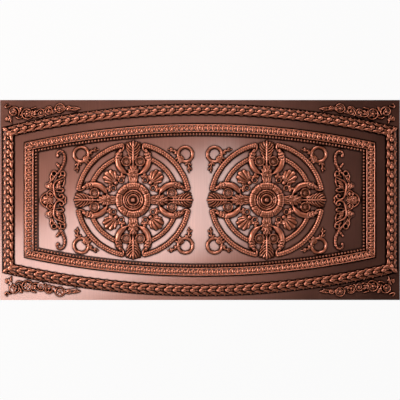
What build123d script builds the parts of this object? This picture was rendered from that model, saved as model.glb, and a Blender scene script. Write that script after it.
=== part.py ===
"""Formed vinyl ceiling tile, two by four feet, as one thin sheet.

A bowed rope moulding and a bowed stepped frame run round the tile. Inside them stand two round
medallions and two upright sprays, and a spray fills each corner outside the rope moulding.
The tile lies on its back: X is along it, Y across it, and Z is up, out of the face that shows.
Every raised form is hollow behind, because the sheet keeps its thickness where it is formed.
"""
import os
from math import cos, pi, radians, sin, tan

from build123d import *

# Sheet
tile_length = 1219.2
tile_width = 609.6
sheet = 0.8

# Rope moulding: flat rim left outside it at the ends and at the crown of the long sides
rope_end_rim = 9.0
rope_crown_rim = 13.8
rope_width = 30.0
rope_height = 7.6
rope_shoulder = 3.5
rope_shoulder_height = 4.6
rope_crest = 10.5
bow_radius = 2590.0
end_stretch = 1.12          # the straight ends of both mouldings are this much wider than the long sides

# Stepped frame inside the rope moulding
band_width = 29.0
leaf_course_width = 25.5
leaf_course_height = 6.2
leaf_course_low = 4.8
frame_crest = 5.0
bead_course_width = 12.5
bead_course_height = 2.0
frame_draft = 1.6

# Medallions
medallion_offset = 203.2

rosette_radius = 43.6       # to the middle of its heavy ring
rosette_width = 20.0
rosette_height = 6.4
rosette_sides = 24
button_radius = 18.0
button_height = 2.6
button_sides = 16
boss_radius = 9.0
boss_height = 11.0
boss_sides = 8

outer_arc_radius = 170.0
outer_arc_width = 14.0
outer_arc_height = 4.4
outer_arc_gap = 11.5

inner_arc_radius = 135.0
inner_arc_width = 13.0
inner_arc_height = 4.2
inner_arc_gap = 24.5

corner_ring_x = 158.5
corner_ring_y = 139.0
corner_ring_radius = 22.3
corner_ring_width = 8.4
corner_ring_height = 3.0
corner_ring_sides = 10

flower_radius = 14.5
flower_height = 3.0
flower_sides = 6
flower_along = 117.7
flower_aside = 21.3

leaf_root = 55.0
leaf_tip = 109.0
leaf_half_width = 14.0
leaf_height = 5.2
leaf_form = ((0, 0.5), (0.25, 0.86), (0.5, 1), (0.75, 0.8))   # (share of length, share of half width)

horn_root = (22.5, 83.0)
horn_belly = (46.5, 114.5)
horn_tip = (38.0, 150.0)
horn_width = 15.0
horn_end_width = 9.0
horn_height = 4.8

fan_root = 121.0
fan_reach = 58.5
fan_half_angle = 25.0
fan_lobes = 5
fan_height = 4.0

shell_root = 78.0
shell_reach = 40.0
shell_half_angle = 30.0
shell_lobes = 5
shell_height = 4.6

# Side sprays, about their own centre: X is towards the middle of the tile. Each bar is (first, middle, last)
spray_offset = 448.0
spray_bars = (
    ((15.5, 137.0), (27.0, 145.5), (36.5, 130.0)), ((36.5, 132.0), (31.5, 99.0), (12.5, 76.0)),
    ((13.5, 78.0), (4.2, 49.0), (12.0, 9.0)), ((7.0, 60.0), (29.0, 67.0), (36.0, 82.0)),
    ((8.0, 28.0), (24.0, 35.5), (33.0, 24.0)))
spray_bud = (-13.0, 44.0)
spray_leaf_root = 2.0
spray_leaf_tip = 37.0

# Corner sprays, from the middle of the tile
scrolls = ((570.5, 272.0), (525.0, 263.5), (485.0, 259.5), (426.5, 280.0))
corner_bars = (
    ((586.0, 240.0), (577.5, 250.0), (577.0, 264.0)), ((472.0, 264.0), (455.0, 266.5), (437.0, 275.0)),
    ((415.0, 277.0), (396.0, 275.5), (375.0, 271.0)))

# Both kinds of spray
spray_width = 9.6
spray_end_width = 7.0
spray_height = 3.4
bud_radius = 12.5
bud_sides = 6

# Forming: slope of the raised forms' sides, in degrees from upright, and how deep the lobes of a fan are cut
draft = 25.0
arc_steps = 5
bar_steps = 3
lobe_depth = 4.0

# How deep a form's foot reaches into the sheet, and how far a hollow's cut starts below its back
seat = sheet / 2
below = 0.2

# Half of the turn that a bowed plate is revolved through, which takes in the whole tile
plate_half_turn = 20.0


def polar(radius, angle):
    """Point at a radius and an angle in degrees."""
    return radius * cos(radians(angle)), radius * sin(radians(angle))


def placed(location, pair):
    """Moves a form and its hollow together."""
    return tuple(location * solid for solid in pair)


def anticlockwise(points):
    """The same outline, listed anticlockwise."""
    area = sum(x * points[count - 1][1] - y * points[count - 1][0] for count, (x, y) in enumerate(points))
    return points if area < 0 else points[::-1]


def regular_outline(radius, sides):
    """Outline with equal sides round the origin."""
    return [polar(radius, 360 * (count + 0.5) / sides) for count in range(sides)]


def inset(points, distance):
    """Moves each side of an outline, listed anticlockwise, inwards by a distance."""
    moved = []
    for count, point in enumerate(points):
        here = Vector(*point)
        before = (here - Vector(*points[count - 1])).normalized()
        after = (Vector(*points[(count + 1) % len(points)]) - here).normalized()
        bisector = Vector(-before.Y - after.Y, before.X + after.X)
        corner = here + bisector * (distance / (1 + before.dot(after)))
        moved.append((corner.X, corner.Y))
    return moved


def frustum(points, low, high, lean=1):
    """Solid on an outline from low to high. Its sides lean in by the draft, or out where lean is -1."""
    run = lean * (high - low) * tan(radians(draft))
    foot, top = (make_face(Polyline(*outline, close=True)) for outline in (points, inset(points, run)))
    return loft([Pos(0, 0, low) * foot, Pos(0, 0, high) * top], ruled=True)


def emboss(points, height):
    """Form raised out of the sheet on an outline, and the hollow one sheet thickness inside it."""
    return frustum(points, seat, sheet + height), frustum(inset(points, sheet), -below, height)


def bar_outline(first, middle, last, width, end_width, steps):
    """Bar bent along the arc through three points, width across at its middle and end_width at its ends."""
    arc = ThreePointArc(first, middle, last)
    centre = arc.arc_center
    outer, inner = [], []
    for step in range(steps + 1):
        share = step / steps
        point = arc @ share
        across = (point - centre).normalized() * (end_width + (width - end_width) * sin(pi * share)) / 2
        outer.append(((point + across).X, (point + across).Y))
        inner.insert(0, ((point - across).X, (point - across).Y))
    return anticlockwise([*outer, *inner])


def arc_outline(radius, gap, width):
    """Bar along a quarter circle, short of each axis by the gap in degrees."""
    start, end = polar(radius, gap), polar(radius, 90 - gap)
    centre_arc = ThreePointArc(start, polar(radius, 45), end)
    return bar_outline(start, centre_arc @ 0.5, end, width, width, arc_steps)


def leaf_outline(root, tip, half_width):
    """Pointed leaf along +Y, blunt at its root."""
    length = tip - root
    right = [(half_width * wide, root + length * share) for share, wide in leaf_form]
    left = [(-x, y) for x, y in reversed(right)]
    return anticlockwise([*right, (0, tip), *left])


def fan_outline(root, reach, half_angle, lobes):
    """Fan of pointed lobes opening along +Y from its root."""
    step = 2 * half_angle / lobes
    neck = reach / 7
    valley = reach - lobe_depth

    def rim(angle, radius):
        return radius * sin(radians(angle)), root + radius * cos(radians(angle))

    points = [(-neck, root), rim(-half_angle, valley)]
    for count in range(lobes):
        start = -half_angle + step * count
        points += [rim(start + step / 2, reach), rim(start + step, valley)]
    return anticlockwise([*points, (neck, root)])


def ring(radius, width, height, sides):
    """Many-sided ring with sloping sides, and its hollow."""
    outer = emboss(regular_outline(radius + width / 2, sides), height)
    hole = regular_outline(radius - width / 2, sides)
    post = frustum(hole, seat, sheet + height + 1, -1)
    core = frustum(inset(hole, -sheet), -below, height + 1, -1)
    return outer[0] - post, outer[1] - core


def bowed_plate(end, crown_y, radius, edge):
    """Plate with a bowed outline and the same edge all round, so that it mitres itself at the corners.

    end and crown_y are the outline's X at the ends and Y at the middle of the long sides. edge is a list
    of (inset, z) points from the outside inwards, and the plate fills what is further in.
    """
    first_z, last_z = edge[0][1], edge[-1][1]
    far = radius - tile_width
    bow_edge = Polyline(*[(radius - inset, z) for inset, z in edge], (far, last_z), (far, first_z), close=True)
    bow = revolve(Plane.XZ * make_face(bow_edge), Axis.Z, revolution_arc=2 * plate_half_turn)
    long_side = Pos(0, crown_y - radius) * Rot(0, 0, 90 - plate_half_turn) * bow
    end_edge = Polyline(
        *[(end - inset * end_stretch, z) for inset, z in edge], (-tile_length, last_z), (-tile_length, first_z),
        close=True)
    short_side = extrude(Plane.XZ * make_face(end_edge), tile_width / 2, both=True)
    return long_side & mirror(long_side, Plane.XZ) & short_side & mirror(short_side, Plane.YZ)


def bowed_moulding(inset, rise, fall):
    """Moulding round the tile, inset from the rope moulding's outer edge: a plate with a pit cut through it.

    rise is the plate's edge, up to its top. fall is the pit's, from the top down to the foot.
    """
    end = tile_length / 2 - rope_end_rim - inset * end_stretch
    crown_y = tile_width / 2 - rope_crown_rim - inset
    radius = bow_radius - inset
    (top_inset, top_z), (next_inset, next_z) = fall[0], fall[1]
    above = (2 * top_inset - next_inset, 2 * top_z - next_z)
    under = (fall[-1][0], rise[0][1] - below)
    return bowed_plate(end, crown_y, radius, rise) - bowed_plate(end, crown_y, radius, [above, *fall[1:], under])


def rope_moulding():
    """Round moulding that carries the rope, with a level crest and a shoulder on each side."""
    def shape(wall, z):
        foot, shoulder, crest = wall, wall + rope_shoulder, rope_crest
        rise = [(foot, z), (foot, 0), (shoulder, rope_shoulder_height), (crest, rope_height)]
        fall = [(rope_width - inset, height) for inset, height in reversed(rise[1:])]
        return bowed_moulding(0, rise, fall)
    return Pos(0, 0, sheet) * shape(0, seat - sheet), shape(sheet, -below)


def stepped_frame():
    """Bowed frame: a leaf course whose top slopes inwards, and a low bead course inside it."""
    width = leaf_course_width + bead_course_width

    def shape(wall, z):
        leaf_in = leaf_course_width - wall
        bead_in = width - wall
        rise = [(wall, z), (wall, 0), (wall + frame_draft, leaf_course_height)]
        fall = [
            (frame_crest, leaf_course_height), (leaf_in - frame_draft, leaf_course_low),
            (leaf_in, bead_course_height), (bead_in - frame_draft, bead_course_height), (bead_in, 0)]
        return bowed_moulding(rope_width + band_width, rise, fall)
    return Pos(0, 0, sheet) * shape(0, seat - sheet), shape(sheet, -below)


def rosette():
    """Centre of a medallion: a heavy ring, and inside it a button with a boss."""
    return [
        ring(rosette_radius, rosette_width, rosette_height, rosette_sides),
        emboss(regular_outline(button_radius, button_sides), button_height),
        emboss(regular_outline(boss_radius, boss_sides), boss_height),
    ]


def medallion():
    """Forms of one medallion about its own centre."""
    quarter = [
        emboss(arc_outline(outer_arc_radius, outer_arc_gap, outer_arc_width), outer_arc_height),
        emboss(arc_outline(inner_arc_radius, inner_arc_gap, inner_arc_width), inner_arc_height),
        emboss(leaf_outline(leaf_root, leaf_tip, leaf_half_width), leaf_height),
        emboss(fan_outline(fan_root, fan_reach, fan_half_angle, fan_lobes), fan_height),
        placed(Rot(0, 0, 45), emboss(fan_outline(shell_root, shell_reach, shell_half_angle, shell_lobes), shell_height)),
    ]
    flower = emboss(regular_outline(flower_radius, flower_sides), flower_height)
    for hand in (-1, 1):
        quarter.append(placed(Pos(hand * flower_aside, flower_along), flower))
        horn = [(hand * x, y) for x, y in (horn_root, horn_belly, horn_tip)]
        quarter.append(emboss(bar_outline(*horn, horn_width, horn_end_width, bar_steps), horn_height))
    forms = rosette()
    for turn in range(4):
        forms += [placed(Rot(0, 0, 90 * turn), pair) for pair in quarter]
    corner_ring = ring(corner_ring_radius, corner_ring_width, corner_ring_height, corner_ring_sides)
    for x in (-corner_ring_x, corner_ring_x):
        for y in (-corner_ring_y, corner_ring_y):
            forms.append(placed(Pos(x, y), corner_ring))
    return forms


def spray_bar(points, across, up):
    """Bar of a spray, turned over sideways or upside down where across or up is -1."""
    turned = [(across * x, up * y) for x, y in points]
    return emboss(bar_outline(*turned, spray_width, spray_end_width, bar_steps), spray_height)


def side_spray(across):
    """Upright spray in the field beside a medallion: two mirrored scrolling stems, buds and a leaf."""
    bud = emboss(regular_outline(bud_radius, bud_sides), spray_height)
    leaf = emboss(leaf_outline(spray_leaf_root, spray_leaf_tip, bud_radius), spray_height)
    forms = [placed(Rot(0, 0, across * 90), leaf), bud]
    for up in (-1, 1):
        forms.append(placed(Pos(across * spray_bud[0], up * spray_bud[1]), bud))
        forms += [spray_bar(points, across, up) for points in spray_bars]
    return [placed(Pos(-across * spray_offset, 0), pair) for pair in forms]


def corner_spray(across, up):
    """Row of scrolls and bars outside the rope moulding, in the corner on one side."""
    bud = emboss(regular_outline(bud_radius, bud_sides), spray_height)
    forms = [placed(Pos(across * x, up * y), bud) for x, y in scrolls]
    return forms + [spray_bar(points, across, up) for points in corner_bars]


def main():
    """Builds the tile and writes it."""
    ground = Pos(0, 0, sheet / 2) * Box(tile_length, tile_width, sheet)
    forms = [rope_moulding(), stepped_frame()]
    centre = medallion()
    for x in (-medallion_offset, medallion_offset):
        forms += [placed(Pos(x, 0), pair) for pair in centre]
    for across in (-1, 1):
        forms += side_spray(across)
        for up in (-1, 1):
            forms += corner_spray(across, up)
    raised = ground.fuse(*[outside for outside, _ in forms])
    tile = raised.cut(*[inside for _, inside in forms])
    os.makedirs("parts", exist_ok=True)
    export_step(tile, "parts/ceiling_tile.step")
    print("ceiling_tile", len(tile.solids()), "solid", round(tile.volume), "mm3")


main()
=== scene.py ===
import bpy
import math
import numpy as np
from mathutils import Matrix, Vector
from mathutils.bvhtree import BVHTree


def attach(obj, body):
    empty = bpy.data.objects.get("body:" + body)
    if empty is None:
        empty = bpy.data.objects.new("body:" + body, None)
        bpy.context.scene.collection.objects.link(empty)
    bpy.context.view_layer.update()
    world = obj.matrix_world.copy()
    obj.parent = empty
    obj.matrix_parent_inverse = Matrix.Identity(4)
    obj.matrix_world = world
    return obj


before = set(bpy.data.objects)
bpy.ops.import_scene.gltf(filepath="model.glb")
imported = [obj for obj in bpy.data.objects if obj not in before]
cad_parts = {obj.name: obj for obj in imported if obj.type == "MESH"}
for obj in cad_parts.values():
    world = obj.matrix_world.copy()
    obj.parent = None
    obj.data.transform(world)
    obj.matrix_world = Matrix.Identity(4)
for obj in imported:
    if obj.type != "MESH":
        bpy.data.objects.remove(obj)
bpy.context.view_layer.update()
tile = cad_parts["ceiling_tile"]
mm = 0.001
print("frame loaded")


# Sizes of the formed sheet, in millimetres, as they are in the CAD part, and the most that relief may reach
sheet = {"length": 1219.2, "width": 609.6, "thick": 0.8, "top": 12.0}
moulding = {"endRim": 9.0, "crownRim": 13.8, "bowRadius": 2590.0, "endStretch": 1.12}


def toLinear(code):
    parts = [int(code[i:i + 2], 16) / 255 for i in (1, 3, 5)]
    return [p / 12.92 if p <= 0.04045 else ((p + 0.055) / 1.055) ** 2.4 for p in parts] + [1.0]


def addNode(tree, kind, inputs=None, **settings):
    node = tree.nodes.new(kind)
    for name, value in settings.items():
        setattr(node, name, value)
    for key, value in (inputs or {}).items():
        if isinstance(value, bpy.types.NodeSocket):
            tree.links.new(value, node.inputs[key])
        else:
            node.inputs[key].default_value = value
    return node


# Copper film on formed vinyl: a satin metal under a clear coat, with a dark wash in every recess that is partly the
# film's antique wash and partly painted shade, drawn from ambient occlusion, from a stored attribute and from the
# distance to the mouldings
vinyl = {
    "ground": {"cleanUnshaded": "#ce8a77", "washAndShade": "#170b06", "rough": 0.30, "metal": 1.0, "specular": 0.15,
               "coat": 2.18, "coatRough": 0.127, "reach": 0.008, "dark": 0.70, "open": 0.97, "brush": 0.07},
    "relief": {"cleanUnshaded": "#ea8862", "washAndShade": "#160500", "rough": 0.31, "metal": 0.76, "specular": 0.15,
               "coat": 1.8, "coatRough": 0.19, "reach": 0.005, "dark": 0.42, "open": 0.92, "brush": 0.02},
}
# Brush marks per metre: about 1.4 mm wide and 110 mm long, drawn coarser than real ones so that they show
brushMarks = {"perMetre": (700, 9, 40), "detail": 3.0, "low": 0.3, "high": 0.7, "depth": 0.4}
# Slow clouds in the gloss, about 70 mm across
glossClouds = {"perMetre": 14.0, "detail": 2.0, "less": 0.04, "more": 0.06}
# Clean film (1) or dark wash (0) by the distance in from the rope moulding's outer edge, in millimetres: partly the
# film's antique wash and partly painted shade, dark in the beds of the mouldings and at the foot of the frame's first
# step
washAndShadeLines = {"low": -10.0, "high": 110.0, "stops": (
    (-10, 1), (-3.6, 1),  # flat rim
    (-1.8, 0), (2.5, 0), (4, 0.06), (26, 0.06), (28, 0), (31.6, 0),  # bed of the rope moulding
    (34.2, 1), (56.0, 1), (57.6, 0), (59.6, 0), (60.6, 1), (63.6, 1),  # flat band, then the frame's first step
    (64.6, 0.34), (80.8, 0.34), (81.6, 0.6), (83.4, 0.6),  # beds of the leaf course and of its inner fillet
    (84.4, 0), (86, 0.14), (95.4, 0.14), (96.8, 0),  # bed of the bead course
    (98.4, 0.85), (100, 1))}  # flat field


def insetFromEdge(tree, place):
    radius, stretch = moulding["bowRadius"] * mm, moulding["endStretch"]
    centre = (moulding["bowRadius"] - sheet["width"] / 2 + moulding["crownRim"]) * mm
    end = (sheet["length"] / 2 - moulding["endRim"]) * mm
    split = addNode(tree, "ShaderNodeSeparateXYZ", {0: place})
    across = addNode(tree, "ShaderNodeMath", {0: split.outputs[0]}, operation="ABSOLUTE").outputs[0]
    up = addNode(tree, "ShaderNodeMath", {0: split.outputs[1]}, operation="ABSOLUTE").outputs[0]
    lever = addNode(tree, "ShaderNodeMath", {0: up, 1: centre}, operation="ADD").outputs[0]
    spot = addNode(tree, "ShaderNodeCombineXYZ", {0: across, 1: lever}).outputs[0]
    reach = addNode(tree, "ShaderNodeVectorMath", {0: spot}, operation="LENGTH").outputs["Value"]
    fromBow = addNode(tree, "ShaderNodeMath", {0: radius, 1: reach}, operation="SUBTRACT").outputs[0]
    fromEnd = addNode(tree, "ShaderNodeMath", {0: end, 1: across}, operation="SUBTRACT").outputs[0]
    fromEnd = addNode(tree, "ShaderNodeMath", {0: fromEnd, 1: stretch}, operation="DIVIDE").outputs[0]
    return addNode(tree, "ShaderNodeMath", {0: fromBow, 1: fromEnd}, operation="MINIMUM").outputs[0]


def washAndShadeRamp(tree, distance, lines):
    low, high = lines["low"], lines["high"]
    share = addNode(tree, "ShaderNodeMapRange", {
        "Value": distance, "From Min": low * mm, "From Max": high * mm}).outputs[0]
    ramp = addNode(tree, "ShaderNodeValToRGB", {0: share})
    points = ramp.color_ramp.elements
    for count, (place, cleanUnshaded) in enumerate(lines["stops"]):
        stop = points[count] if count < 2 else points.new((place - low) / (high - low))
        stop.position = (place - low) / (high - low)
        stop.color = (cleanUnshaded, cleanUnshaded, cleanUnshaded, 1)
    return ramp.outputs[0]


def copperVinyl(name, look, lined):
    material = bpy.data.materials.new(name)
    material.use_nodes = True
    tree = material.node_tree
    tree.nodes.clear()
    place = addNode(tree, "ShaderNodeTexCoord").outputs["Object"]
    stretched = addNode(tree, "ShaderNodeMapping", {"Vector": place, "Scale": brushMarks["perMetre"]})
    brushing = addNode(tree, "ShaderNodeTexNoise", {
        "Vector": stretched.outputs[0], "Scale": 1.0, "Detail": brushMarks["detail"]})
    cloud = addNode(tree, "ShaderNodeTexNoise", {
        "Vector": place, "Scale": glossClouds["perMetre"], "Detail": glossClouds["detail"]})
    # Painted shade: ambient occlusion darkens the colour toward the dark wash colour, and takes off the coat, in
    # recesses and at the feet of forms
    shade = addNode(tree, "ShaderNodeAmbientOcclusion", {"Distance": look["reach"]}, samples=12)
    cleanUnshaded = addNode(tree, "ShaderNodeMapRange", {
        "Value": shade.outputs["AO"], "From Min": look["dark"], "From Max": look["open"]},
        interpolation_type="SMOOTHSTEP").outputs[0]
    # Painted shade on the ground: darker in the beds of the mouldings, by the distance in from the moulding's edge
    if lined:
        bare = washAndShadeRamp(tree, insetFromEdge(tree, place), washAndShadeLines)
    else:
        stored = addNode(tree, "ShaderNodeAttribute", attribute_name="washAndShade").outputs["Fac"]
        bare = addNode(tree, "ShaderNodeMath", {0: 1.0, 1: stored}, operation="SUBTRACT").outputs[0]
    cleanUnshaded = addNode(tree, "ShaderNodeMath", {0: cleanUnshaded, 1: bare}, operation="MULTIPLY").outputs[0]
    streak = addNode(tree, "ShaderNodeMapRange", {
        "Value": brushing.outputs["Fac"], "From Min": brushMarks["low"], "From Max": brushMarks["high"],
        "To Min": 1 - look["brush"], "To Max": 1 + look["brush"]}).outputs[0]
    film = addNode(tree, "ShaderNodeMix", {0: 1.0, 6: toLinear(look["cleanUnshaded"]), 7: streak},
                   data_type="RGBA", blend_type="MULTIPLY").outputs[2]
    coat = addNode(tree, "ShaderNodeMix", {0: cleanUnshaded, 6: toLinear(look["washAndShade"]), 7: film},
                   data_type="RGBA").outputs[2]
    gloss = addNode(tree, "ShaderNodeMapRange", {
        "Value": cloud.outputs["Fac"], "To Min": look["rough"] - glossClouds["less"],
        "To Max": look["rough"] + glossClouds["more"]}).outputs[0]
    grain = addNode(tree, "ShaderNodeBump", {
        "Height": brushing.outputs["Fac"], "Strength": look["brush"],
        "Distance": brushMarks["depth"] * mm}).outputs[0]
    shader = addNode(tree, "ShaderNodeBsdfPrincipled", {
        "Base Color": coat, "Roughness": gloss, "Normal": grain, "Metallic": look["metal"],
        "Specular IOR Level": look["specular"], "Coat Weight": cleanUnshaded, "Coat Roughness": look["coatRough"],
        "Coat IOR": look["coat"]})
    addNode(tree, "ShaderNodeOutputMaterial", {"Surface": shader.outputs[0]})
    return material


groundVinyl = copperVinyl("antiqueCopperVinylGround", vinyl["ground"], True)
reliefVinyl = copperVinyl("antiqueCopperVinylRelief", vinyl["relief"], False)
for place in tile.material_slots:
    place.link = "OBJECT"
    place.material = groundVinyl
print("materials made")


# Height of the CAD face under any point of the tile
tileTree = BVHTree.FromPolygons([v.co for v in tile.data.vertices], [p.vertices[:] for p in tile.data.polygons])
down = Vector((0, 0, -1))


def faceHeight(x, y):
    hit = tileTree.ray_cast(Vector((x * mm, y * mm, 0.05)), down)[0]
    return hit.z / mm if hit else 0.0


def faceHeights(xs, ys):
    return np.array([[faceHeight(x, y) for y in ys] for x in xs])


# Relief as a field of heights above the flat sheet
def newField(x0, x1, y0, y1, step):
    xs = np.arange(x0, x1 + step / 2, step)
    ys = np.arange(y0, y1 + step / 2, step)
    return {"x": xs, "y": ys, "h": np.zeros((len(xs), len(ys)))}


def window(field, points, margin):
    points = np.atleast_2d(np.array(points, float))
    low, high = points.min(0) - margin, points.max(0) + margin
    i0, i1 = np.searchsorted(field["x"], (low[0], high[0]))
    j0, j1 = np.searchsorted(field["y"], (low[1], high[1]))
    gridX, gridY = np.meshgrid(field["x"][i0:i1], field["y"][j0:j1], indexing="ij")
    return (slice(i0, i1), slice(j0, j1)), gridX, gridY


def lift(field, part, height):
    field["h"][part] = np.maximum(field["h"][part], height)


def half(q, power=0.5):
    return np.clip(1 - q * q, 0, 1) ** power


def curveThrough(points, perSpan=8):
    p = np.array(points, float)
    p = np.vstack([2 * p[0] - p[1], p, 2 * p[-1] - p[-2]])
    t = np.linspace(0, 1, perSpan, endpoint=False)[:, None]
    spans = [0.5 * (2 * b + (c - a) * t + (2 * a - 5 * b + 4 * c - d) * t ** 2 + (3 * b - a - 3 * c + d) * t ** 3)
             for a, b, c, d in zip(p, p[1:], p[2:], p[3:])]
    return np.vstack([*spans, p[-2:-1]])


def along(line, gridX, gridY):
    gap, travel, start = np.full(gridX.shape, 1e9), np.zeros(gridX.shape), 0.0
    for a, b in zip(line, line[1:]):
        step = b - a
        length = max(np.hypot(*step), 1e-6)
        t = np.clip(((gridX - a[0]) * step[0] + (gridY - a[1]) * step[1]) / length ** 2, 0, 1)
        here = np.hypot(gridX - a[0] - t * step[0], gridY - a[1] - t * step[1])
        nearer = here < gap
        gap, travel = np.where(nearer, here, gap), np.where(nearer, start + t * length, travel)
        start += length
    return gap, travel, start


def stem(field, points, width, height, tail, frill=0.0):
    line = curveThrough(points)
    part, gridX, gridY = window(field, line, width)
    gap, travel, length = along(line, gridX, gridY)
    share = travel / length
    swell = np.where(share < 0.5, tail[0] + (1 - tail[0]) * np.sin(np.pi * share),
                     tail[1] + (1 - tail[1]) * np.sin(np.pi * share))
    q = gap / (width / 2 * swell)
    if frill:
        q = q / (0.92 + 0.12 * np.cos(2 * np.pi * travel / frill))
    z = height * np.sqrt(swell) * half(q, 0.36)
    if frill:
        z = z * (0.84 + 0.16 * np.cos(2 * np.pi * (travel / frill - 0.6 * q)))
    lift(field, part, z)


def leaf(field, root, tip, halfWidth, height, notch=0.14, veins=3):
    root, tip = np.array(root, float), np.array(tip, float)
    axis = tip - root
    length = np.hypot(*axis)
    part, gridX, gridY = window(field, [root, tip], halfWidth * 1.5)
    u = ((gridX - root[0]) * axis[0] + (gridY - root[1]) * axis[1]) / length ** 2
    v = ((gridY - root[1]) * axis[0] - (gridX - root[0]) * axis[1]) / length
    inside = np.clip(u, 0.001, 0.999)
    lobes = 1 - notch + notch * np.cos(2 * np.pi * veins * inside)
    edge = halfWidth * np.sin(np.pi * inside ** 0.8) ** 0.8 * lobes
    q = np.abs(v) / edge
    rib = 0.5 + 0.5 * np.cos(2 * np.pi * (veins * inside - 0.9 * q))
    z = height * half(q, 0.3) * (0.78 + 0.22 * rib) * (0.7 + 0.3 * np.sin(np.pi * inside ** 0.9))
    z = z * (1 - 0.22 * np.exp(-(v / (0.1 * halfWidth + 0.5)) ** 2))
    lift(field, part, np.where((u > 0) & (u < 1) & (q < 1), z, 0))


def dome(field, centre, radius, height, petals=0, turn=0.0):
    part, gridX, gridY = window(field, [centre], radius + 1)
    dx, dy = gridX - centre[0], gridY - centre[1]
    r = np.hypot(dx, dy)
    if petals:
        wave = 0.5 + 0.5 * np.cos(petals * (np.arctan2(dy, dx) - math.radians(turn)))
        q = r / (radius * (0.82 + 0.18 * wave ** 0.5))
        z = height * half(q, 0.35) * (0.6 + 0.4 * wave ** 0.6) * (0.8 + 0.2 * np.clip(r / radius, 0, 1))
        z = np.maximum(z, height * half(r / (radius * 0.3)))
    else:
        z = height * half(r / radius)
    lift(field, part, z)


def hoop(field, centre, radius, width, height):
    part, gridX, gridY = window(field, [centre], radius + width)
    away = np.hypot(gridX - centre[0], gridY - centre[1])
    lift(field, part, height * half((away - radius) / (width / 2), 0.4))


def shell(field, root, centre, radius, lobes, height):
    part, gridX, gridY = window(field, [centre], radius * 1.2)
    heading = math.atan2(centre[1] - root[1], centre[0] - root[0])
    angle = np.arctan2(gridY - root[1], gridX - root[0]) - heading
    angle = (angle + np.pi) % (2 * np.pi) - np.pi
    crest = np.abs(np.cos(lobes * angle * 0.9)) ** 0.8
    around = np.arctan2(gridY - centre[1], gridX - centre[0]) - heading
    far = np.hypot(gridX - root[0], gridY - root[1]) / (2 * radius)
    scallop = 0.86 + 0.14 * np.abs(np.cos(lobes * around * 0.45))
    q = np.hypot(gridX - centre[0], gridY - centre[1]) / (radius * scallop)
    z = height * (0.5 + 0.5 * crest) * half(q, 0.3) * (0.7 + 0.3 * np.clip(far, 0, 1))
    lift(field, part, z)


def beadedArc(field, radius, start, end, width, height, pitch):
    gridX, gridY = np.meshgrid(field["x"], field["y"], indexing="ij")
    r, angle = np.hypot(gridX, gridY), np.degrees(np.arctan2(gridY, gridX))
    held = np.clip(angle, start, end)
    off = np.hypot(r - radius, np.radians(angle - held) * r)
    q = off / (width / 2)
    side = (r - radius) / (width / 2)
    run = np.radians(angle) * radius
    beads = np.zeros(r.shape)
    for row, phase in ((-0.45, 0.0), (0.45, 0.5)):
        turn = (run / pitch + phase + 0.5) % 1 - 0.5
        beads = np.maximum(beads, half(np.hypot(turn * pitch, (side - row) * width / 2) / (pitch * 0.5)))
    lift(field, ..., np.where(q < 1, height * half(q, 0.3) * (0.6 + 0.4 * beads), 0))


# Stems, leaves, hoops and buds of one motif, with x and y changed over on request
def layForms(field, forms, swap=False):
    def at(points):
        return [(b, a) if swap else (a, b) for a, b in points]

    for points, *rest in forms["stems"]:
        stem(field, at(points), *rest)
    for root, tip, *rest in forms["leaves"]:
        leaf(field, *at((root, tip)), *rest)
    for make, key in ((hoop, "hoops"), (dome, "buds")):
        for centre, *rest in forms[key]:
            make(field, *at([centre]), *rest)


def mirrored(quarter):
    h = quarter["h"]
    h = np.concatenate([h[::-1][:-1], h], axis=0)
    h = np.concatenate([h[:, ::-1][:, :-1], h], axis=1)
    xs, ys = quarter["x"], quarter["y"]
    return {"x": np.concatenate([-xs[::-1][:-1], xs]), "y": np.concatenate([-ys[::-1][:-1], ys]), "h": h}


def widest(a, size):
    padded = np.pad(a, size, mode="edge")
    rows, columns = a.shape
    shifts = range(2 * size + 1)
    return np.max([padded[i:i + rows, j:j + columns] for i in shifts for j in shifts], axis=0)


def softened(a, size):
    for axis in (0, 1):
        pad = [(0, 0), (0, 0)]
        pad[axis] = (size, size)
        padded = np.pad(a, pad, mode="edge")
        total = np.cumsum(np.insert(padded, 0, 0.0, axis=axis), axis=axis)
        count = 2 * size + 1
        a = (np.take(total, range(count, total.shape[axis]), axis=axis)
             - np.take(total, range(total.shape[axis] - count), axis=axis)) / count
    return a


# Distance in from the rope moulding's outer edge, as the material takes it
def insets(xs, ys):
    gridX, gridY = np.meshgrid(np.abs(xs), np.abs(ys), indexing="ij")
    radius = moulding["bowRadius"]
    fromBow = radius - np.hypot(gridX, gridY + radius - sheet["width"] / 2 + moulding["crownRim"])
    return np.minimum(fromBow, (sheet["length"] / 2 - moulding["endRim"] - gridX) / moulding["endStretch"])


# Where relief may lie, by that distance
zones = {"field": (101.0, 1000.0), "rim": (-100.0, -2.5)}
# How relief sits on the CAD face, in millimetres
seat = {"least": 0.15, "proud": 0.12, "sunk": 0.3, "under": 0.35, "formed": 0.05}
# How much dark wash and painted shade lie in its dips, on the plinths between its forms and on the high boss
washAndShadeDips = {"base": 0.17, "depth": 0.8, "spread": 2, "plinth": 0.85, "boss": 0.3, "bossFrom": 9.0}


def joinedCells(shown):
    used = widest(shown.astype(float), 1) > 0
    cells = used[:-1, :-1] & used[1:, :-1] & used[:-1, 1:] & used[1:, 1:]
    cells &= shown[:-1, :-1] | shown[1:, :-1] | shown[:-1, 1:] | shown[1:, 1:]
    while True:  # where two cells meet at a corner alone, the other two are filled
        a, b, c, d = cells[:-1, :-1], cells[1:, 1:], cells[1:, :-1], cells[:-1, 1:]
        touching = (a & b & ~c & ~d) | (c & d & ~a & ~b)
        if not touching.any():
            return cells
        for part in (a, b, c, d):
            part |= touching


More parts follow.
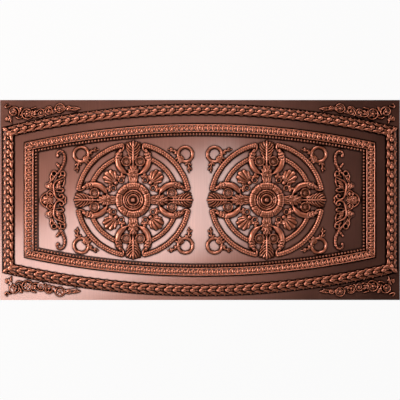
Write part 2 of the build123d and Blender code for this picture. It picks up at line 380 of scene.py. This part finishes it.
def reliefGeometry(field, zone, covered=False):
    xs, ys = field["x"], field["y"]
    inset = insets(xs, ys)
    kept = (inset > zones[zone][0]) & (inset < zones[zone][1])
    raised = np.where(kept, field["h"], 0)
    face = faceHeights(xs, ys)
    skin = widest(face, 1)
    formed = kept & (skin > sheet["thick"] + seat["formed"])
    high = raised > seat["least"]
    stands = high & (sheet["thick"] + raised > skin + seat["proud"])
    if covered:
        shown = high | formed
        top = np.where(high, sheet["thick"] + raised, sheet["thick"] - seat["sunk"])
        top = np.where(formed, np.maximum(top, skin + seat["proud"]), top)
    else:
        shown = stands
        top = np.where(shown, sheet["thick"] + raised, face - seat["sunk"])
    top = np.minimum(top, sheet["top"])
    cells = joinedCells(shown)
    nodes = np.zeros(shown.shape, bool)
    for part in (nodes[:-1, :-1], nodes[1:, :-1], nodes[:-1, 1:], nodes[1:, 1:]):
        part |= cells
    count = int(nodes.sum())
    number = np.full(shown.shape, -1)
    number[nodes] = np.arange(count)
    gridX, gridY = np.meshgrid(xs, ys, indexing="ij")
    under = np.minimum(face, top) - seat["under"]
    upper = np.column_stack([gridX[nodes], gridY[nodes], top[nodes]])
    lower = np.column_stack([gridX[nodes], gridY[nodes], under[nodes]])
    i, j = np.nonzero(cells)
    v00, v10, v11, v01 = number[i, j], number[i + 1, j], number[i + 1, j + 1], number[i, j + 1]
    faces = [np.column_stack([v00, v10, v11, v01]), np.column_stack([v01, v11, v10, v00]) + count]
    bare = ~np.pad(cells, 1)
    for di, dj, a, b in ((-1, 0, v00, v01), (1, 0, v11, v10), (0, -1, v10, v00), (0, 1, v01, v11)):
        edge = bare[i + 1 + di, j + 1 + dj]
        faces.append(np.column_stack([a[edge], b[edge], b[edge] + count, a[edge] + count]))
    # Painted shade: the relief is darker in its pits, by how far it lies below its surroundings, darker on the plinths
    # between its forms, and a little darker on the high boss
    weight = softened(shown.astype(float), washAndShadeDips["spread"])
    pit = softened(top * shown, washAndShadeDips["spread"]) / np.maximum(weight, 0.01) - top
    washAndShade = np.where(shown, np.clip(washAndShadeDips["base"] + pit / washAndShadeDips["depth"], 0, 1), 1.0)
    left = np.where(skin > washAndShadeDips["bossFrom"], washAndShadeDips["boss"], washAndShadeDips["plinth"])
    washAndShade = np.where(formed & ~stands, np.maximum(washAndShade, left), washAndShade)[nodes]
    return np.vstack([upper, lower]) * mm, np.vstack(faces), np.concatenate([washAndShade, washAndShade])


def finishPiece(name, mesh, washAndShade):
    mesh.attributes.new("washAndShade", "FLOAT", "POINT").data.foreach_set("value", washAndShade.astype(np.float32))
    mesh.polygons.foreach_set("use_smooth", np.ones(len(mesh.polygons), bool))
    mesh.materials.clear()
    mesh.materials.append(reliefVinyl)
    mesh.update()
    piece = bpy.data.objects.new(name, mesh)
    bpy.context.scene.collection.objects.link(piece)
    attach(piece, "root")
    print(name, len(mesh.vertices), "points", len(mesh.polygons), "faces")


def addRelief(name, points, faces, washAndShade):
    mesh = bpy.data.meshes.new(name)
    mesh.from_pydata(points.tolist(), [], faces.tolist())
    finishPiece(name, mesh, washAndShade)


# Medallions: one quarter about their own centre, mirrored both ways
medallion = {
    "offset": 203.2, "reach": 190.5, "step": 1.5,
    "ring": {"inner": 33.0, "outer": 54.4, "height": 10.4, "bundle": 26.0, "ribs": 7.5,
             "frill": {"radius": 28.4, "width": 3.2, "height": 5.2, "wave": 0.8, "lobes": 16},
             "fillets": ((22.6, 1.8, 3.4), (15.6, 2.4, 4.6)), "boss": {"radius": 6.0, "height": 11.1}},
    "outerArc": {"radius": 170.0, "start": 11.5, "end": 78.5, "width": 14.2, "height": 8.0, "pitch": 7.4},
    "innerArc": {"radius": 135.0, "start": 26.0, "end": 64.0, "width": 13.2, "height": 7.6, "pitch": 7.0},
    "shell": {"root": (53.0, 53.0), "centre": (69.5, 69.5), "radius": 23.5, "lobes": 9, "height": 9.0},
    # One of the four points, along y: collar, horns, curl, the fan's midrib and its tip
    "point": {
        "stems": [
            (((0, 54), (0, 63), (0, 74)), 5.4, 7.0, (0.9, 0.8)),
            (((4.48, 54), (5.6, 63), (6.16, 73)), 5.4, 7.0, (0.9, 0.8)),
            (((8.48, 54), (10.6, 63), (11.66, 70)), 5.4, 7.0, (0.9, 0.8)),
            (((20.0, 80), (33, 89), (43.5, 102), (47.5, 117)), 16.5, 10.6, (0.25, 0.95)),
            (((47.5, 112), (48.0, 125), (45, 138), (38, 152)), 17.5, 10.6, (0.9, 0.5), 9.0),
            (((34.5, 169), (29.5, 163), (30.5, 155), (34, 149)), 5.4, 6.0, (0.9, 0.8)),
            (((0, 113), (0, 140), (0, 172)), 6.4, 8.4, (0.8, 0.5)),
            (((0, 158), (0, 170), (0, 181)), 6.4, 7.4, (0.7, 0.5)),
        ],
        "leaves": (
            ((0, 69), (19, 82), 6.0, 9.4, 0), ((0, 77), (17, 95), 5.8, 9.4, 0), ((0, 86), (10.5, 107), 5.0, 9.4, 0),
            ((0, 66), (0, 117), 6.6, 10.8, 0), ((46, 118), (56, 133), 4.6, 8.6), ((46, 127), (53, 146), 4.8, 8.6),
            ((45, 122), (34, 133), 4.4, 8.6), ((43, 132), (33, 143), 4.0, 8.6), ((38, 96), (50, 101), 3.6, 8.6),
        ),
        "hoops": (((21.3, 117.7), 13.6, 3.2, 4.8), ((36.5, 60.0), 7.4, 3.6, 4.4), ((47.5, 68.0), 4.8, 2.8, 4.0)),
        "buds": (((21.3, 117.7), 10.0, 4.2, 6, 15), ((34.0, 79.0), 5.4, 6.0), ((28.0, 71.5), 5.0, 6.0),
                 ((39.0, 70.5), 5.2, 6.0), ((33.5, 73.0), 4.6, 6.0)),
    },
    # The fan's blades: where each leaves the midrib, and its tip
    "blades": ((122, 11, 133), (129, 16.5, 143), (137, 20, 153), (145, 21, 162), (152, 17, 170), (158, 9.5, 176)),
    "blade": {"width": 4.4, "height": 7.0, "tail": (0.6, 0.7), "bow": 0.55, "sag": 2.5},
    # The ring in the corner, with its leaves and its two sprigs
    "corner": {
        "stems": ((((143, 138), (132, 143), (121, 151), (105, 154)), 4.0, 6.0, (0.8, 0.5)),
                  (((163, 119), (168, 107), (171, 96), (169, 82)), 4.0, 6.0, (0.8, 0.5))),
        "leaves": (
            ((154, 130), (138, 109), 5.4, 6.6), ((150, 134), (126, 124), 5.4, 6.6), ((152, 132), (132, 114), 5.0, 6.6),
            ((136, 142), (122, 141), 3.6, 6.6), ((133, 143), (123, 155), 3.6, 6.6), ((123, 150), (110, 149), 3.2, 6.6),
            ((121, 151), (112, 161), 3.0, 6.6), ((165, 117), (159, 104), 3.6, 6.6), ((167, 114), (178, 104), 3.6, 6.6),
            ((170, 102), (165, 90), 3.2, 6.6), ((171, 100), (180, 91), 3.0, 6.6),
        ),
        "hoops": (((158.5, 139.0), 22.3, 8.2, 5.2),),
        "buds": (((52.0, 52.0), 6.5, 7.0), ((144.0, 126.0), 8.6, 6.8, 5, 45)),
    },
}
for low, x, y in medallion["blades"]:
    blade = medallion["blade"]
    bowed = ((0.5, low), (x * blade["bow"], (low + y) / 2 - blade["sag"]), (x, y))
    medallion["point"]["stems"].append((bowed, blade["width"], blade["height"], blade["tail"]))


def rosette(field, look):
    gridX, gridY = np.meshgrid(field["x"], field["y"], indexing="ij")
    r, angle = np.hypot(gridX, gridY), np.degrees(np.arctan2(gridY, gridX))
    middle, width = (look["inner"] + look["outer"]) / 2, look["outer"] - look["inner"]
    fold = np.minimum(angle, 90 - angle)
    notch = np.exp(-((fold - look["bundle"]) / 2.6) ** 2)
    slant = 0.5 + 0.5 * np.cos(2 * np.pi * (fold / look["ribs"] + 0.05 * (r - middle)))
    ring = look["height"] * half((r - middle) / (width / 2), 0.36) * (0.86 + 0.14 * slant) * (1 - 0.3 * notch)
    frill, boss = look["frill"], look["boss"]
    scallop = 0.5 + 0.5 * np.cos(np.radians(frill["lobes"] * angle))
    edging = frill["height"] * half((r - frill["radius"] - frill["wave"] * scallop) / frill["width"], 0.4)
    fillets = [height * half((r - radius) / width) for radius, width, height in look["fillets"]]
    lift(field, ..., np.maximum.reduce([ring, edging, *fillets, boss["height"] * half(r / boss["radius"], 0.2)]))


quarter = newField(0, medallion["reach"], 0, medallion["reach"], medallion["step"])
rosette(quarter, medallion["ring"])
layForms(quarter, medallion["point"])
layForms(quarter, medallion["point"], True)
layForms(quarter, medallion["corner"])
shell(quarter, **medallion["shell"])
beadedArc(quarter, **medallion["outerArc"])
beadedArc(quarter, **medallion["innerArc"])
whole = mirrored(quarter)
print("medallion field made")
for name, centre in (("medallionLeft", -medallion["offset"]), ("medallionRight", medallion["offset"])):
    addRelief(name, *reliefGeometry(dict(whole, x=whole["x"] + centre), "field", True))


# Side sprays: upper half about their own centre, mirrored up and down, then left and right
spray = {
    "offset": 448.0, "step": 1.0, "halfWidth": 46.0, "reach": 156.0,
    "stems": (
        (((13.5, 136), (14.5, 144), (20, 148.5), (28, 147), (34, 140), (36.5, 128), (34.5, 113.8), (28.4, 99.6),
          (21.3, 87.4), (13, 79), (5, 69), (-3, 57)), 9.6, 8.0, (0.7, 0.4), 8.0),
        (((-3, 83), (-7.4, 73), (-6, 62), (-10, 53)), 4.6, 5.6, (0.8, 0.5)),
        (((37, 77), (35.5, 71.5), (23.3, 64), (11, 58), (4, 48.8), (3, 36.6), (5, 24.4), (9, 10.2), (15, 3.6),
          (23, 1.8), (31, 5.5), (33, 12.5), (27, 17), (21.5, 12.5)), 6.4, 7.8, (0.7, 0.7)),
        (((6, 30), (13, 35), (22, 36.5), (31, 33.5), (33, 28), (27, 24.5), (18, 25), (9, 27)), 4.2, 6.2, (0.8, 0.7)),
        (((34, 68), (35, 57), (33, 47), (29, 40)), 3.8, 5.4, (0.7, 0.7)),
        (((-13, 24.5), (-22, 20.5), (-31, 14), (-36, 5), (-36.5, -1)), 4.6, 6.0, (0.6, 0.9)),
        (((35, 13), (39, 6), (37, -1)), 4.4, 5.6, (0.6, 0.9)),
    ),
    "leaves": (
        ((23, 96), (12.5, 111), 4.6, 7.0), ((3, 73), (-5, 56), 3.8, 5.6), ((17, 68), (27, 77), 3.6, 6.2),
        ((7, 37), (29, 44.5), 4.6, 7.0), ((9, 44), (27, 53), 4.4, 7.0), ((14, 53), (33, 60), 4.2, 6.4),
        ((-1, 30), (-16, 52), 7.6, 8.0), ((-4, 36), (-24, 45), 6.4, 7.0), ((-1, 39), (-7, 56), 5.2, 6.6),
        ((-13, 8), (-31, 10), 4.4, 6.0), ((-6, 0), (-38, 0), 12.0, 6.8),
    ),
    "hoops": (((4, 80.3), 7.6, 4.4, 6.2), ((30.4, 80.5), 6.6, 4.2, 6.2), ((-8, 18.5), 9.8, 4.0, 6.0)),
    "buds": (((15.2, 134.5), 5.2, 7.6), ((13, 109.5), 4.0, 6.4), ((-8, 18.5), 6.6, 5.4, 4), ((-5, 0), 9.0, 8.2, 6),
             ((22.5, 12), 3.8, 6.4), ((31.5, 28), 3.6, 6.2)),
}


def sprayField(hand):
    field = newField(-spray["halfWidth"], spray["halfWidth"], 0, spray["reach"], spray["step"])
    layForms(field, spray)
    h = np.concatenate([field["h"][:, ::-1][:, :-1], field["h"]], axis=1)
    ys = np.concatenate([-field["y"][::-1][:-1], field["y"]])
    if hand < 0:
        return {"x": field["x"] - spray["offset"], "y": ys, "h": h}
    return {"x": spray["offset"] - field["x"][::-1], "y": ys, "h": h[::-1]}


for name, hand in (("sideSprayLeft", -1), ("sideSprayRight", 1)):
    addRelief(name, *reliefGeometry(sprayField(hand), "field"))


# Corner sprays: scrolls and leaves in one corner, mirrored to the other three
cornerSpray = {
    "step": 1.0, "x": (360, 602), "y": (228, 301), "height": 5.0,
    "scroll": {"width": 3.8, "height": 5.4, "tail": (0.8, 0.8), "points": 18},
    "petal": {"root": 2.5, "reach": 0.8, "wide": 0.24, "height": 5.2, "veins": 2},
    "scrolls": (((567, 268.5), (17.5, 6), 215, -1.3, 3), ((526, 262.5), (18, 13), 150, 1.2, 5),
                ((484, 265), (12.5, 5), 20, 1.3, 0), ((460, 269.5), (11.5, 8), 200, -1.1, 3),
                ((427, 278.5), (15, 11), 200, -1.2, 5), ((400, 278.5), (7.5, 4), 0, 1.0, 0)),
    "stems": (
        (((577, 286), (585, 283), (590.5, 282), (592.5, 286.5), (587, 293)), 4.2, (0.8, 0.6)),
        (((561, 252.5), (553, 248), (545, 249.5), (540, 253)), 3.8, (0.8, 0.6)),
        (((582, 258), (579, 250), (577, 243), (574, 233)), 4.2, (0.8, 0.6)),
        (((509, 256), (501, 252.5), (494, 254.5), (489, 254)), 3.8, (0.8, 0.6)),
        (((514, 277), (506, 279.5), (498, 282.5)), 3.8, (0.9, 0.5)),
        (((473, 275), (466, 282), (456, 283.5), (449, 279)), 3.8, (0.8, 0.6)),
        (((449, 263), (443, 265.5), (438, 269)), 3.6, (0.8, 0.6)),
        (((394, 275), (382, 273.5), (372, 276), (364, 278)), 3.6, (0.9, 0.6)),
        (((394, 282), (382, 282), (372, 280), (364, 278)), 3.6, (0.9, 0.6)),
    ),
    "leaves": (((584, 252), (594, 246), 5.0), ((583, 251), (585, 238.5), 5.0), ((580, 250), (572, 241), 4.6),
               ((586, 249), (592, 240), 4.2), ((549, 268), (543, 280), 4.4), ((550, 275), (540, 284), 4.2),
               ((547, 262), (544, 254), 4.0), ((507, 266), (496, 273), 4.2), ((507, 261), (496, 262), 4.2),
               ((473, 262), (468, 255), 3.8), ((444, 272), (441, 282), 4.0), ((412, 273), (408, 284), 3.8),
               ((391, 278), (367, 278), 3.2)),
    "bud": {"radius": 4.8, "height": 6.4},
}


def scroll(field, centre, radii, start, turns, petals):
    line, petal = cornerSpray["scroll"], cornerSpray["petal"]
    angles = math.radians(start) + np.linspace(0, 2 * np.pi * turns, line["points"])
    reach = np.linspace(*radii, line["points"])
    points = np.column_stack([centre[0] + reach * np.cos(angles), centre[1] + reach * np.sin(angles)])
    stem(field, points, line["width"], line["height"], line["tail"])
    for k in range(petals):
        turn = math.radians(start) + 2 * math.pi * k / petals
        ahead = np.array([math.cos(turn), math.sin(turn)])
        root, tip = np.array(centre) + petal["root"] * ahead, np.array(centre) + petal["reach"] * radii[0] * ahead
        leaf(field, root, tip, petal["wide"] * radii[0], petal["height"], veins=petal["veins"])
    dome(field, centre, **cornerSpray["bud"])


def cornerField():
    field = newField(*cornerSpray["x"], *cornerSpray["y"], cornerSpray["step"])
    for form in cornerSpray["scrolls"]:
        scroll(field, *form)
    for points, width, tail in cornerSpray["stems"]:
        stem(field, points, width, cornerSpray["height"], tail)
    for root, tip, wide in cornerSpray["leaves"]:
        leaf(field, root, tip, wide, cornerSpray["height"])
    return field


corner = cornerField()
parts = []
for x in (-1, 1):
    for y in (-1, 1):
        turned = {"x": np.sort(corner["x"] * x), "y": np.sort(corner["y"] * y), "h": corner["h"][::x, ::y]}
        parts.append(reliefGeometry(turned, "rim"))
starts = np.cumsum([0] + [len(points) for points, faces, washAndShade in parts])
addRelief("cornerSprays", np.vstack([points for points, faces, washAndShade in parts]),
          np.vstack([part[1] + start for part, start in zip(parts, starts)]),
          np.concatenate([washAndShade for points, faces, washAndShade in parts]))


# Leaf garland on the rope moulding, leaf course and bead course: units set along bowed paths
def bowedRuns(inset, z, short=0.0, step=12.0):
    end = sheet["length"] / 2 - moulding["endRim"] - inset * moulding["endStretch"]
    radius = moulding["bowRadius"] - inset
    centreY = sheet["width"] / 2 - moulding["crownRim"] - moulding["bowRadius"]
    cornerY = centreY + math.sqrt(radius ** 2 - end ** 2)
    last = math.asin((end - short) / radius)
    turns = np.linspace(0, last, max(4, int(radius * last / step)))
    crown = [(radius * math.sin(t), centreY + radius * math.cos(t)) for t in turns]
    rise = np.linspace(0, cornerY - short, max(3, int((cornerY - short) / step)))
    return [[(x * mm, y * mm, z * mm) for x, y in run] for run in (crown, [(end, y) for y in rise])]


def bowedPath(inset, z):
    crown, side = bowedRuns(inset, z)
    upper = side + crown[-2::-1]
    return [(x, -y, h) for x, y, h in upper[:0:-1]] + upper


def roundRuns(inset, start, end):
    crownStart, sideStart = bowedRuns(inset, 0.0, start)
    crownEnd, sideEnd = bowedRuns(inset, 0.0, end)
    top = crownStart[::-1] + [(-x, y, z) for x, y, z in crownEnd[1:]]
    right = [(x, -y, z) for x, y, z in sideStart[:0:-1]] + sideEnd
    return [top, right] + [[(-x, -y, z) for x, y, z in run] for run in (top, right)]


def pathCurve(name, paths, closed=False):
    data = bpy.data.curves.new(name, "CURVE")
    data.dimensions = "3D"
    for path in paths:
        spline = data.splines.new("POLY")
        spline.points.add(len(path) - 1)
        for point, place in zip(spline.points, path):
            point.co = (*place, 1)
        spline.use_cyclic_u = closed
    route = bpy.data.objects.new(name, data)
    bpy.context.scene.collection.objects.link(route)
    return route


def bothWays(path):
    return [path, [(-x, y, z) for x, y, z in path]]


def allFour(path):
    return bothWays(path) + bothWays([(x, -y, z) for x, y, z in path])


def unitMesh(name, solids):
    mesh = bpy.data.meshes.new(name)
    points, faces = [], []
    for solidPoints, solidFaces in solids:
        start = len(points)
        points += solidPoints
        faces += [[start + i for i in face] for face in solidFaces]
    mesh.from_pydata(points, [], faces)
    unit = bpy.data.objects.new(name, mesh)
    bpy.context.scene.collection.objects.link(unit)
    return unit


def leafSolid(length, width, height, centre, heading, pitch=0.0, crease=0.2, rings=8, around=12):
    turn, dip = math.radians(heading), math.radians(pitch)
    points, faces = [], []
    for k in range(1, rings):
        s = k / rings
        wide = width / 2 * math.sin(math.pi * s ** 0.8) ** 0.75
        tall = height * math.sin(math.pi * s ** 0.8) ** 0.6
        for n in range(around):
            a = 2 * math.pi * n / around
            y = wide * math.cos(a)
            z = tall * math.sin(a) * (1 - crease * math.exp(-(y / (0.16 * width)) ** 2))
            points.append((length * (s - 0.5), y, z))
    points += [(-length / 2, 0, 0), (length / 2, 0, 0)]
    first, last = len(points) - 2, len(points) - 1
    for k in range(rings - 2):
        for n in range(around):
            m = (n + 1) % around
            faces.append([k * around + n, k * around + m, (k + 1) * around + m, (k + 1) * around + n])
    for n in range(around):
        m = (n + 1) % around
        faces.append([first, m, n])
        faces.append([last, (rings - 2) * around + n, (rings - 2) * around + m])
    moved = []
    for x, y, z in points:
        x, z = x * math.cos(dip) + z * math.sin(dip), z * math.cos(dip) - x * math.sin(dip)
        x, y = x * math.cos(turn) - y * math.sin(turn), x * math.sin(turn) + y * math.cos(turn)
        moved.append(((x + centre[0]) * mm, (y + centre[1]) * mm, (z + centre[2]) * mm))
    return moved, faces


def unitTree():
    tree = bpy.data.node_groups.new("unitsAlongPath", "GeometryNodeTree")
    for name, kind in (("Path", "NodeSocketGeometry"), ("Unit", "NodeSocketObject"),
                       ("Spacing", "NodeSocketFloat"), ("Finish", "NodeSocketMaterial")):
        tree.interface.new_socket(name, in_out="INPUT", socket_type=kind)
    tree.interface.new_socket("Course", in_out="OUTPUT", socket_type="NodeSocketGeometry")
    given = addNode(tree, "NodeGroupInput").outputs
    spaced = addNode(tree, "GeometryNodeResampleCurve", {
        "Curve": given["Path"], "Length": given["Spacing"]}, mode="LENGTH")
    tangent = addNode(tree, "GeometryNodeInputTangent")
    facing = addNode(tree, "FunctionNodeAlignRotationToVector", {"Vector": tangent.outputs[0]},
                     axis="X", pivot_axis="Z")
    unit = addNode(tree, "GeometryNodeObjectInfo", {"Object": given["Unit"]}, transform_space="ORIGINAL")
    course = addNode(tree, "GeometryNodeInstanceOnPoints", {
        "Points": spaced.outputs[0], "Instance": unit.outputs["Geometry"], "Rotation": facing.outputs[0]})
    solid = addNode(tree, "GeometryNodeRealizeInstances", {"Geometry": course.outputs[0]})
    coated = addNode(tree, "GeometryNodeSetMaterial", {"Geometry": solid.outputs[0], "Material": given["Finish"]})
    addNode(tree, "NodeGroupOutput", {"Course": coated.outputs[0]})
    return tree


courseTree = unitTree()


def fromPath(name, path, tree, values, washAndShade):
    modifier = path.modifiers.new("units", "NODES")
    modifier.node_group = tree
    for item in tree.interface.items_tree:
        if item.in_out == "INPUT" and item.name in values:
            modifier[item.identifier] = values[item.name]
    mesh = bpy.data.meshes.new_from_object(path.evaluated_get(bpy.context.evaluated_depsgraph_get()))
    bpy.data.objects.remove(path)
    mesh.name = name
    points = np.zeros(3 * len(mesh.vertices))
    mesh.vertices.foreach_get("co", points)
    low, high = washAndShade  # heights at which the dark wash and painted shade are full and gone
    # Painted shade: each course is darker the lower it lies, which also leaves the rope's inner row of leaves lighter
    # than its outer row
    finishPiece(name, mesh, np.clip((high - points[2::3] / mm) / (high - low), 0, 1))


def courseAlong(name, paths, solids, spacing, washAndShade):
    unit = unitMesh(name + "Unit", solids)
    fromPath(name, pathCurve(name + "Path", paths), courseTree, {
        "Unit": unit, "Spacing": spacing * mm, "Finish": reliefVinyl}, washAndShade)
    bpy.data.objects.remove(unit)


# Each solid: length, width, height, centre, heading, pitch, crease, rings, sides
garland = {"inset": 15.8, "spacing": 26.2, "start": 7.0, "end": 24.0, "washAndShade": (4.2, 10.6), "solids": (
    (18, 11.6, 4.0, (0, 0, 7.6), 0, -4, 0),
    (14, 7.0, 2.6, (13.1, 0, 6.6), 0, 0, 0.2),
    (29, 9.6, 3.8, (11, 9.0, 6.9), 10, -3, 0.15),
    (27, 8.8, 3.4, (11, -8.6, 5.8), -10, -3, 0.15),
    (15, 5.4, 2.8, (2, 13.2, 5.0), 8, 0, 0, 6, 10),
    (16, 5.4, 2.8, (1, -12.9, 4.2), -8, 0, 0, 6, 10),
    (6.4, 6.0, 3.0, (-10, -13.6, 5.2), 0, 0, 0, 6, 10))}
courseAlong("ropeGarland", roundRuns(garland["inset"], garland["start"], garland["end"]),
            [leafSolid(*form) for form in garland["solids"]], garland["spacing"], garland["washAndShade"])

# Two leaves on each mitre of the rope moulding, one at each end of a short path
mitre = {"inner": 20.0, "outer": 8.0, "share": 0.99, "washAndShade": (4.6, 11.2),
         "solid": (22, 11, 4.0, (0, 0, 6.6), 0, 0, 0.1)}
ends = [bowedRuns(mitre[key], 0.0)[0][-1] for key in ("inner", "outer")]
courseAlong("ropeMitres", allFour(ends), [leafSolid(*mitre["solid"])],
            math.dist(*ends) / mm * mitre["share"], mitre["washAndShade"])

leafCourse = {"inset": 71.6, "spacing": 15.3, "washAndShade": (3.4, 7.0), "solids": (
    (9.6, 9.0, 3.0, (0, 0, 6.5), 0, 0, 0, 6, 10),
    (21, 6.6, 2.9, (7.65, 0, 6.2), 90, 0, 0.1, 8, 8),
    (9.5, 4.2, 2.2, (3.2, -6.6, 6.4), -55, 0, 0, 6, 8),
    (9.5, 4.2, 2.2, (3.2, 6.6, 6.4), 55, 0, 0, 6, 8))}
beadCourse = {"inset": 90.6, "spacing": 9.6, "washAndShade": (3.0, 6.0), "solids": (
    (7.6, 7.4, 2.6, (0, 0, 2.8), 0, 0, 0, 6, 10),)}
for name, course in (("leafCourse", leafCourse), ("beadCourse", beadCourse)):
    courseAlong(name, bothWays(bowedPath(course["inset"], 0.0)), [leafSolid(*form) for form in course["solids"]],
                course["spacing"], course["washAndShade"])


# Half-round fillets along both edges of the leaf course, drawn along the same bowed path
fillets = {"insets": ((62.2, 7.0), (82.6, 5.6)), "radius": 1.5, "sides": 10, "washAndShade": (5.0, 6.6)}


def railTree():
    tree = bpy.data.node_groups.new("railAlongPath", "GeometryNodeTree")
    for name, kind in (("Path", "NodeSocketGeometry"), ("Radius", "NodeSocketFloat"),
                       ("Sides", "NodeSocketInt"), ("Finish", "NodeSocketMaterial")):
        tree.interface.new_socket(name, in_out="INPUT", socket_type=kind)
    tree.interface.new_socket("Rail", in_out="OUTPUT", socket_type="NodeSocketGeometry")
    given = addNode(tree, "NodeGroupInput").outputs
    section = addNode(tree, "GeometryNodeCurvePrimitiveCircle", {
        "Resolution": given["Sides"], "Radius": given["Radius"]})
    rail = addNode(tree, "GeometryNodeCurveToMesh", {"Curve": given["Path"], "Profile Curve": section.outputs[0]})
    solid = addNode(tree, "GeometryNodeRealizeInstances", {"Geometry": rail.outputs[0]})
    coated = addNode(tree, "GeometryNodeSetMaterial", {"Geometry": solid.outputs[0], "Material": given["Finish"]})
    addNode(tree, "NodeGroupOutput", {"Rail": coated.outputs[0]})
    return tree


def wholeRound(inset, z):
    right = bowedPath(inset, z)
    return right + [(-x, y, z) for x, y, z in right[-2:0:-1]]


filletPath = pathCurve("filletPath", [wholeRound(*place) for place in fillets["insets"]], True)
fromPath("leafCourseFillets", filletPath, railTree(), {
    "Radius": fillets["radius"] * mm, "Sides": fillets["sides"], "Finish": reliefVinyl}, fillets["washAndShade"])


# Stage: a pale floor, soft lights and a camera straight above, in metres and watts
lamps = {
    "keyLight": {"place": (-0.965, -0.44, 3.2), "size": (2.80, 0.63), "power": 12.7, "tint": "#ffffff", "turn": 0.394},
    "leftLight": {"place": (-2.6, 0.1, 1.7), "size": (1.0, 1.7), "power": 46.0, "tint": "#fff4ee"},
    "topLight": {"place": (-0.2, 2.4, 1.7), "size": (1.9, 1.0), "power": 29.0, "tint": "#fff4ee"},
    "rightLight": {"place": (2.8, 0.2, 1.5), "size": (1.0, 1.7), "power": 9.0, "tint": "#fff4ee"},
}
paleFloor = {"half": 60.0, "grey": (0.9, 0.9, 0.9, 1), "white": (1, 1, 1, 1), "seen": 0.93}
# By the height of a ray's direction: a dim zenith, a soft glow lower down and a white backdrop below that
studio = {"zenith": 0.95, "glow": 0.45, "dim": 0.003, "soft": 0.11, "tint": (1, 0.84, 0.8, 1),
          "backdropFrom": 0.3, "backdropFull": 0.15, "backdrop": 0.97}
view = {"height": 2.6, "sensor": 36.0}


def areaLight(name, place, size, power, tint, turn=0.0):
    lamp = bpy.data.lights.new(name, "AREA")
    lamp.shape = "RECTANGLE"
    lamp.size, lamp.size_y = size
    lamp.energy = power
    lamp.color = toLinear(tint)[:3]
    light = bpy.data.objects.new(name, lamp)
    light.location = place
    if turn:  # hangs level, turned about the vertical
        light.rotation_euler = (0, 0, turn)
    else:  # aims at the middle of the tile
        light.rotation_euler = (-Vector(place)).to_track_quat("-Z", "Y").to_euler()
    bpy.context.scene.collection.objects.link(light)


def seenRay(tree):
    path = addNode(tree, "ShaderNodeLightPath").outputs
    seen = path["Is Camera Ray"]
    for other in ("Is Glossy Ray", "Is Transmission Ray"):
        seen = addNode(tree, "ShaderNodeMath", {0: seen, 1: path[other]}, operation="MAXIMUM").outputs[0]
    return seen


def whiteFloor():
    material = bpy.data.materials.new("paleFloor")
    material.use_nodes = True
    tree = material.node_tree
    tree.nodes.clear()
    share = addNode(tree, "ShaderNodeMath", {0: seenRay(tree), 1: paleFloor["seen"]}, operation="MULTIPLY")
    matte = addNode(tree, "ShaderNodeBsdfDiffuse", {"Color": paleFloor["grey"]})
    glow = addNode(tree, "ShaderNodeEmission", {"Color": paleFloor["white"], "Strength": 1.0})
    both = addNode(tree, "ShaderNodeMixShader", {0: share.outputs[0], 1: matte.outputs[0], 2: glow.outputs[0]})
    addNode(tree, "ShaderNodeOutputMaterial", {"Surface": both.outputs[0]})
    return material


def studioWorld():
    world = bpy.data.worlds.new("studio")
    world.use_nodes = True
    tree = world.node_tree
    tree.nodes.clear()
    ray = addNode(tree, "ShaderNodeTexCoord").outputs["Generated"]
    height = addNode(tree, "ShaderNodeSeparateXYZ", {0: ray}).outputs[2]
    level = addNode(tree, "ShaderNodeMapRange", {
        "Value": height, "From Min": studio["zenith"], "From Max": studio["glow"],
        "To Min": studio["dim"], "To Max": studio["soft"]}, interpolation_type="SMOOTHSTEP")
    sky = addNode(tree, "ShaderNodeBackground", {"Color": studio["tint"], "Strength": level.outputs[0]})
    backdrop = addNode(tree, "ShaderNodeBackground", {"Color": paleFloor["white"], "Strength": studio["backdrop"]})
    low = addNode(tree, "ShaderNodeMapRange", {
        "Value": height, "From Min": studio["backdropFrom"], "From Max": studio["backdropFull"]},
        interpolation_type="SMOOTHSTEP")
    share = addNode(tree, "ShaderNodeMath", {0: seenRay(tree), 1: low.outputs[0]}, operation="MULTIPLY")
    both = addNode(tree, "ShaderNodeMixShader", {0: share.outputs[0], 1: sky.outputs[0], 2: backdrop.outputs[0]})
    addNode(tree, "ShaderNodeOutputWorld", {"Surface": both.outputs[0]})
    return world


floorReach = paleFloor["half"]
floorMesh = bpy.data.meshes.new("floor")
floorCorners = [(x * floorReach, y * floorReach, 0) for x, y in ((-1, -1), (1, -1), (1, 1), (-1, 1))]
floorMesh.from_pydata(floorCorners, [], [(0, 1, 2, 3)])
floorMesh.materials.append(whiteFloor())
floor = bpy.data.objects.new("floor", floorMesh)
bpy.context.scene.collection.objects.link(floor)

scene = bpy.context.scene
scene.view_settings.view_transform = "Standard"
scene.world = studioWorld()
for name, look in lamps.items():
    areaLight(name, **look)

lens = bpy.data.cameras.new("camera")
lens.sensor_width = view["sensor"]
lens.lens = view["sensor"] * (view["height"] - sheet["thick"] * mm) / (sheet["length"] * mm)
camera = bpy.data.objects.new("camera", lens)
camera.location = (0, 0, view["height"])
scene.collection.objects.link(camera)
scene.camera = camera
print("stage set")
